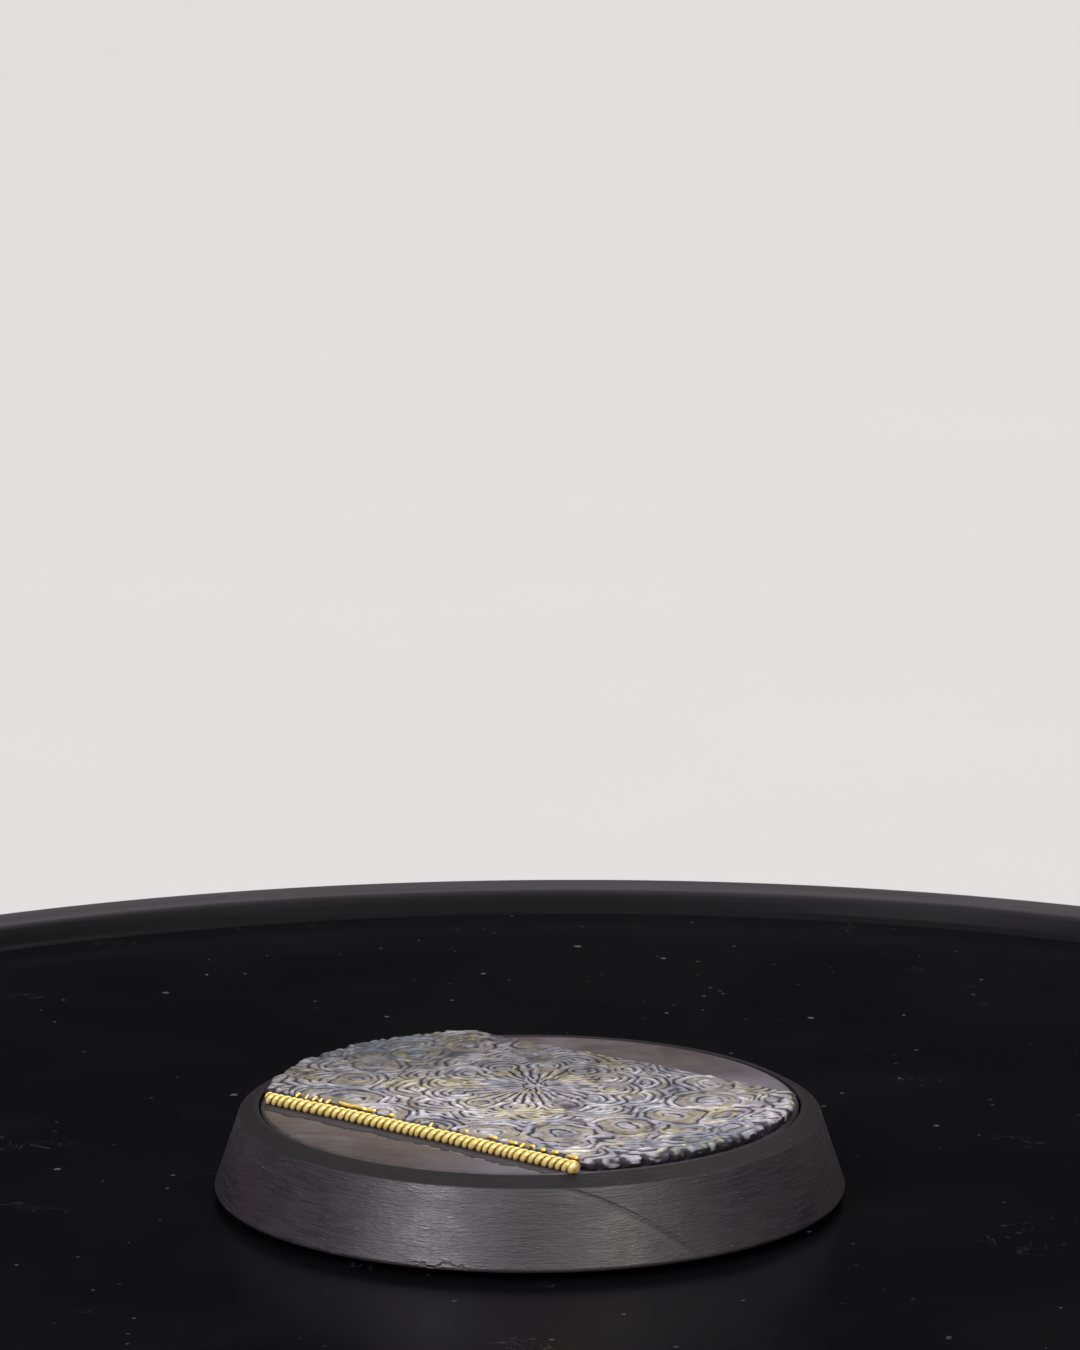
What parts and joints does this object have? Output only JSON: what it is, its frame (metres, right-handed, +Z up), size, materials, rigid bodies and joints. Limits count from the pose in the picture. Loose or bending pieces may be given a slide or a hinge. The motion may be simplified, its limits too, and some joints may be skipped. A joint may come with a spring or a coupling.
{
  "type": "motorised turntable display stand",
  "caption": "Low round motorised turntable with a lipped gloss black platter, rear controls and a tapered round display plinth holding a scenic insert.",
  "frame": {"origin": "the platter's axis at the surface that the rubber feet stand on", "axes": "+Z up along the platter's axis, +Y towards the rear control panel, +X to the right seen from the front"},
  "size_m": [0.254, 0.254, 0.0543],
  "materials": {
    "shell_plastic": "fine satin texture, black",
    "plate_plastic": "matte black",
    "rubber": "matte black",
    "platter_plastic": "satin black",
    "cover_gloss": "mirror-like gloss black acrylic, light dust",
    "plinth_black": "matte black with fine turned streaks",
    "felt": "black felt",
    "insert_paint": "matte mauve grey paint",
    "rug_paint": "painted relief, pale grey with blue, lilac and ochre washes",
    "rope_gold": "metallic gold paint",
    "bearing_steel": "ground",
    "balls": "polished",
    "bronze": "machined bronze",
    "nylon": "natural nylon",
    "acetal_black": "black acetal",
    "zinc_steel": "zinc plated",
    "board_green": "solder mask",
    "white_plastic": "matte",
    "red_insulation": "matte",
    "black_insulation": "matte",
    "contact_brass": "tinned brass",
    "switch_black": "gloss black",
    "button_grey": "matte grey",
    "lens_green": "clear green",
    "knob_black": "matte black with a white pointer"
  },
  "bodies": {
    "base": {"base_shell": "shell_plastic", "base_plate": "plate_plastic", "foot_1": "rubber", "foot_2": "rubber", "foot_3": "rubber", "foot_4": "rubber", "foot_5": "rubber", "foot_6": "rubber", "case_screws": "zinc_steel", "lower_race": "bearing_steel", "centre_spindle": "bearing_steel", "spindle_nut": "zinc_steel", "spindle_washer": "zinc_steel", "retaining_screw": "zinc_steel", "retaining_washer": "zinc_steel", "idler_axle": "bearing_steel", "idler_clip": "zinc_steel", "motor_can": "zinc_steel", "motor_front_plate": "zinc_steel", "motor_screws": "zinc_steel", "motor_lead_red": "red_insulation", "motor_lead_black": "black_insulation", "control_panel": "plate_plastic", "panel_screws": "zinc_steel", "board_screws": "zinc_steel", "circuit_board": "board_green", "board_connector": "white_plastic", "terminal_pins": "contact_brass", "dc_jack": "switch_black", "dc_jack_nut": "zinc_steel", "dc_jack_pin": "contact_brass", "switch_frame": "switch_black", "led_lens": "lens_green", "led_chip": "white_plastic", "tact_switch": "acetal_black", "pot_body": "zinc_steel", "pot_nut": "zinc_steel"},
    "platter": {"platter": "platter_plastic", "cover_disc": "cover_gloss", "ring_gear": "nylon", "ring_gear_screws": "zinc_steel", "upper_race": "bearing_steel", "hub_bush": "bronze"},
    "cage": {"ball_cage": "acetal_black", "bearing_balls": "balls"},
    "idler": {"idler_gear": "nylon"},
    "pinion": {"drive_pinion": "bronze", "motor_shaft": "bearing_steel"},
    "rocker": {"rocker": "switch_black"},
    "button": {"button_cap": "button_grey"},
    "knob": {"pot_shaft": "bearing_steel", "speed_knob": "knob_black"},
    "plinth": {"plinth": "plinth_black", "plinth_pad": "felt"},
    "insert": {"insert_disc": "insert_paint", "rug": "rug_paint", "rope_trim": "rope_gold"}
  },
  "joints": [
    {"name": "platter_spin", "type": "hinge", "parent": "base", "child": "platter", "pos_m": [0, 0, 0.038], "axis": [0, 0, 1], "continuous": true},
    {"name": "cage_spin", "type": "hinge", "parent": "base", "child": "cage", "pos_m": [0, 0, 0.034], "axis": [0, 0, 1], "continuous": true},
    {"name": "idler_spin", "type": "hinge", "parent": "base", "child": "idler", "pos_m": [-0.03169, 0.00721, 0.034], "axis": [0, 0, 1], "continuous": true},
    {"name": "pinion_spin", "type": "hinge", "parent": "base", "child": "pinion", "pos_m": [-0.02175, -0.01014, 0.034], "axis": [0, 0, 1], "continuous": true},
    {"name": "power_rocker", "type": "hinge", "parent": "base", "child": "rocker", "pos_m": [0.006, 0.106, 0.01675], "axis": [-1, 0, 0], "range_deg": [0, 22]},
    {"name": "direction_button", "type": "slide", "parent": "base", "child": "button", "axis": [0, -1, 0], "range_m": [0, 0.0012], "stiffness_N_per_m": 200},
    {"name": "speed_knob_turn", "type": "hinge", "parent": "base", "child": "knob", "pos_m": [-0.0195, 0.109, 0.01675], "axis": [0, -1, 0], "range_deg": [-135, 135]},
    {"name": "plinth_lift", "type": "slide", "parent": "platter", "child": "plinth", "axis": [0, 0, 1], "range_m": [0, 0.06]},
    {"name": "insert_lift", "type": "slide", "parent": "plinth", "child": "insert", "axis": [0, 0, 1], "range_m": [0, 0.02]}
  ],
  "couplings": [
    {"joint": "cage_spin", "follows": "platter_spin", "ratio": 0.5},
    {"joint": "idler_spin", "follows": "platter_spin", "ratio": 3.6},
    {"joint": "pinion_spin", "follows": "platter_spin", "ratio": -6}
  ]
}
